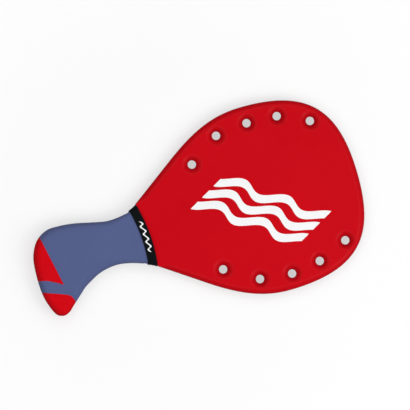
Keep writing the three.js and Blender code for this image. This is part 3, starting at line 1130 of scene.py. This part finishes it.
# %% [markdown]
# ## Band and ink
#
# The band is woven with its ribs along its length, so the ribs follow the neck line. The same parabola
# that trims the sleeve, written with wires, tells the finish how far a point lies behind the line. The
# ink is an opaque white, slightly matt, with the fine ripple of the mesh that it was pressed through.

# %% Woven band
band_black = linear(11, 15, 17)
band_shades = (0.7, 1.4)
band_relief = 0.08 * mm
band_roughness = 0.75
band_polish = 0.15
rib_pitch = 0.9 * mm
rib_share = 0.35
thread_pitch = 0.6 * mm
thread_share = 0.15


def woven_band():
    """Ribs as a cosine of the distance behind the neck line, crossed by fine threads. The colour follows
    the height: painted shade in the grooves and painted light on the rib tops.
    """
    f = Finish("black_webbing", Specular_IOR_Level=0.05)
    x, y, z = f.split(f.place)
    across = y * (1 / neck_reach)
    behind = (1 - across * across) * collar_bow - across * collar_lean - (x - neck_x)
    ribs = f.wave(behind, rib_pitch)
    threads = f.wave(y + z, thread_pitch)
    height = ribs * rib_share + threads * thread_share + 0.5
    # painted shade and light: the grooves are darker and the rib tops lighter than the black
    colour = f.shade(height, band_black, band_shades)
    return f.paint(colour, band_roughness - height * band_polish, height, band_relief)


give(woven_band(), neck_band)

# %% Screen ink
ink_whites = (0.93, 0.93, 0.94), (0.98, 0.98, 0.98)
ink_relief = 0.006 * mm
ink_roughness = 0.42
ink_wear = 0.12
wear_scale = 40
mesh_pitch = 0.45 * mm


def screen_ink():
    """Nearly white, with soft patches of wear in the roughness and a fine mesh ripple as height."""
    f = Finish("white_ink", Specular_IOR_Level=0.3)
    x, y, _ = f.split(f.place)
    ripple = f.wave(x + y, mesh_pitch) * f.wave(x - y, mesh_pitch)
    wear = f.noise(wear_scale, detail=3)
    colour = f.blend(wear, *ink_whites)
    return f.paint(colour, ink_roughness + wear * ink_wear, ripple * 0.5 + 0.5, ink_relief)


give(screen_ink(), *blade_prints, band_print)

# %% [markdown]
# ## Foam and wood inside
#
# Nobody sees the core, the bent edge bar, the spine and the cheeks, but they are part of the racket
# and show when it is taken apart. Foam is a heap of cells, so its height is the distance to the nearest
# cell's middle. Wood is stripes that wander a little: along the racket for the straight spine, and in
# rings round the blade's middle for the bar that is bent about it.

# %% Foam
foam_shades = (0.85, 1.1)
foam_relief = 0.3 * mm
foam_roughness = 0.85
cell_shade_share = 0.6
cell_roughness = 0.1
stain_scale = 30


def foam(name, colour, cell):
    """Cells of one size: the Voronoi distance to a cell's middle is the height, so the walls between the
    cells stand up. The walls are painted paler and the hollows darker, as painted shade, and the whole
    foam is stained in soft patches."""
    f = Finish(name, Specular_IOR_Level=0.2)
    cells = f.node("ShaderNodeTexVoronoi", None, {"Vector": f.place, "Scale": 1 / cell})
    stains = f.noise(stain_scale, detail=3)
    # painted shade: the cell hollows are darker in colour than the walls between them
    mixed = f.shade(cells * cell_shade_share + stains * (1 - cell_shade_share), colour, foam_shades)
    return f.paint(mixed, foam_roughness + cells * cell_roughness, cells, foam_relief)


give(foam("core_foam", linear(230, 220, 184), cell=0.9 * mm), solid["blade_core"])
give(foam("cheek_foam", linear(216, 198, 154), cell=0.6 * mm), solid["front_cheek"], solid["back_cheek"])

# %% Wood
late_wood = linear(150, 98, 52)
early_wood = linear(196, 146, 92)
wood_relief = 0.08 * mm
wood_roughness = 0.55
grain_pitch = 1.8 * mm
grain_wander = 3 * mm
wander_scale = 18
stripe_tint = 0.7
stripe_share = 0.4
pore_scale = 700
pore_stretch = (0.06, 1, 1)
pore_roughness = 0.2


def wood(name, grain):
    """Stripes of early and late wood as a sine of grain, a wire that grows across the fibres and here
    wanders with slow noise, and fine pores."""
    f = Finish(name, Specular_IOR_Level=0.3)
    wavy = grain(f) + f.noise(wander_scale, detail=3) * grain_wander
    stripes = f.sum("SINE", wavy * (2 * math.pi / grain_pitch)) * 0.5 + 0.5
    pores = f.noise(pore_scale, stretch=pore_stretch)
    colour = f.blend(stripes * stripe_tint + pores * (1 - stripe_tint), late_wood, early_wood)
    height = stripes * stripe_share + pores * (1 - stripe_share)
    return f.paint(colour, wood_roughness + pores * pore_roughness, height, wood_relief)


def across_racket(f):
    """Distance across the racket, so that stripes run along it."""
    return f.split(f.place)[1]


def round_blade(f):
    """Distance from the middle of the blade, so that stripes run round it."""
    x, y, _ = f.split(f.place)
    x = x - (neck_x + widest_place)
    return (x * x + y * y) ** 0.5


give(wood("spine_wood", across_racket), solid["handle_spine"])
give(wood("rim_wood", round_blade), solid["rim_frame"])

# %% [markdown]
# ## Paper, lamps and camera
#
# The racket is shown as on a copy stand. One large lamp overhead would be simpler, but the flat gloss
# face would mirror it. So broad lamps stand round the racket, touching each other in a ring that is low
# enough for none of them to be mirrored there, and their shadows add up to a soft grey edge all round.
# One nearer and lower lamp gives the rounded edges a bright and a dark side. The paper curves up far
# away. It is white, and camera rays see part of it as plain white light, which keeps the
# shadow but lifts the rest. That part grows away from the racket, where no shadow falls.

# %% Paper and world
paper_radius = 5.0
paper_bend = 1.5
paper_height = 3.2
paper_middle = 0.01
paper_sides = 96
bend_steps = 17
near_glow_share = 0.56
glow_start = 0.15
glow_full = 0.45
paper_white = 0.98
fleck_scale = 300
bounce_white = 0.3
world_strength = 0.08


def paper():
    """A profile turned round the upright axis: flat floor, quarter bend, straight wall."""
    turn = np.linspace(0, math.pi / 2, bend_steps)
    bend = paper_radius + paper_bend * np.sin(turn)
    reach = np.concatenate([[paper_middle], bend, bend[-1:]])[:, None]
    height = np.concatenate([[0], paper_bend * (1 - np.cos(turn)), [paper_height]])[:, None]
    angle = 2 * math.pi * np.arange(paper_sides) / paper_sides
    points = np.dstack([reach * np.cos(angle), reach * np.sin(angle), height * np.ones_like(angle)])
    numbers = numbered(points)
    made = mesh_of("paper", points, corners(numbers)[:, ::-1].tolist() + [numbers[0].tolist()], zero=0)
    made.shade_smooth()
    return made


def paper_finish():
    """Matt paper, part of which shows as white light to rays from the camera, from gloss and through
    clear things. The camera sees its white, and the racket gets less of it back, as from paper that
    lies on a dark table."""
    f = Finish("white_paper", Roughness=0.9, Specular_IOR_Level=0.1)
    rays = ("Is Camera Ray", "Is Glossy Ray", "Is Transmission Ray")
    camera_ray, glossy_ray, clear_ray = [f.node("ShaderNodeLightPath", out=ray) for ray in rays]
    seen = f.sum("MAXIMUM", f.sum("MAXIMUM", camera_ray, glossy_ray), clear_ray)
    x, y, _ = f.split(f.place)
    reach = (x * x + y * y) ** 0.5
    share = seen * f.ease(reach, glow_start, glow_full, near_glow_share)
    white = f.noise(fleck_scale) * (1 - paper_white) + paper_white
    colour = camera_ray * (white - bounce_white) + bounce_white
    f.tree.links.new(colour.socket, f.shader.inputs["Base Color"])
    glow = f.node("ShaderNodeEmission", None, {"Color": (1, 1, 1, 1), "Strength": 1})
    shader = Wire(f, f.shader.outputs[0])
    mixed = f.node("ShaderNodeMixShader", None, {0: share, 1: shader, 2: glow})
    f.tree.links.new(mixed.socket, f.tree.nodes["Material Output"].inputs["Surface"])
    return f.material


floor = placed("paper", paper())
give(paper_finish(), floor)
floor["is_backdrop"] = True

world = bpy.data.worlds.new("studio")
world.use_nodes = True
background = world.node_tree.nodes["Background"]
background.inputs["Color"].default_value = (1, 1, 1, 1)
background.inputs["Strength"].default_value = world_strength
bpy.context.scene.world = world
bpy.context.scene.view_settings.view_transform = "Standard"
print("paper", round(2 * paper_radius, 1), "m across, world at", world_strength)

# %% Lamps
ring_count = 6
ring_lamp = {"elevation": 55, "share": 0.735 / ring_count, "distance": 2.5, "size": 1.5}
near_lamp = {"azimuth": -40, "elevation": 40, "share": 0.15, "distance": 1.8, "size": 1}


def softbox(name, azimuth, elevation, share, distance, size):
    """An area lamp aimed at the racket. With power P, distance d, area A and elevation e it brings a level
    white face to P sin(e) / (pi^2 (d^2 + A / pi)) of white, so the power follows from the share wanted."""
    around, up = math.radians(azimuth), math.radians(elevation)
    back = Vector((math.cos(around) * math.cos(up), math.sin(around) * math.cos(up), math.sin(up)))
    light = bpy.data.lights.new(name, "AREA")
    light.shape, light.size = "SQUARE", size
    light.energy = share * math.pi**2 * (distance**2 + size**2 / math.pi) / math.sin(up)
    lamp = placed(name, light)
    lamp.location = back * distance
    lamp.rotation_euler = back.to_track_quat("Z", "Y").to_euler()
    print(name, "lamp:", round(light.energy), "W")


for k in range(ring_count):
    softbox(f"ring_{k + 1}", 360 * k / ring_count, **ring_lamp)
softbox("near", **near_lamp)

# %% Camera
picture_width = 489.8 * mm
eye_distance = 4.0
axis_slant = math.radians(16.4)
eye_tilt = math.radians(6)
aim = Vector((14.2 * mm, 13.1 * mm, skin_high.z))


def camera():
    """A long lens straight above, leaned a few degrees towards the handle. The racket's long axis climbs
    to the right in the picture by the slant."""
    along = Vector((math.cos(eye_tilt), 0, math.sin(eye_tilt)))
    back = Vector((-math.sin(eye_tilt), 0, math.cos(eye_tilt)))
    across = Vector((0, 1, 0))
    right = along * math.cos(axis_slant) - across * math.sin(axis_slant)
    up = along * math.sin(axis_slant) + across * math.cos(axis_slant)
    lens = bpy.data.cameras.new("camera")
    lens.lens = lens.sensor_width * eye_distance / picture_width
    made = placed("camera", lens)
    made.matrix_world = Matrix((right, up, back)).transposed().to_4x4()
    made.location = aim + back * eye_distance
    return made


bpy.context.scene.camera = camera()
print("camera lens", round(bpy.context.scene.camera.data.lens), "mm")

# %% [markdown]
# ## The last check
#
# The dressed racket has to fill the box of its solids. We write both boxes down.

# %% Sizes and finish
dressed_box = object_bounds()
for axis, low, high, new_low, new_high in zip("xyz", *solid_box, *dressed_box):
    solid_size, dressed_size = round((high - low) / mm, 2), round((new_high - new_low) / mm, 2)
    print(axis, "solids", solid_size, "mm, dressed", dressed_size, "mm")
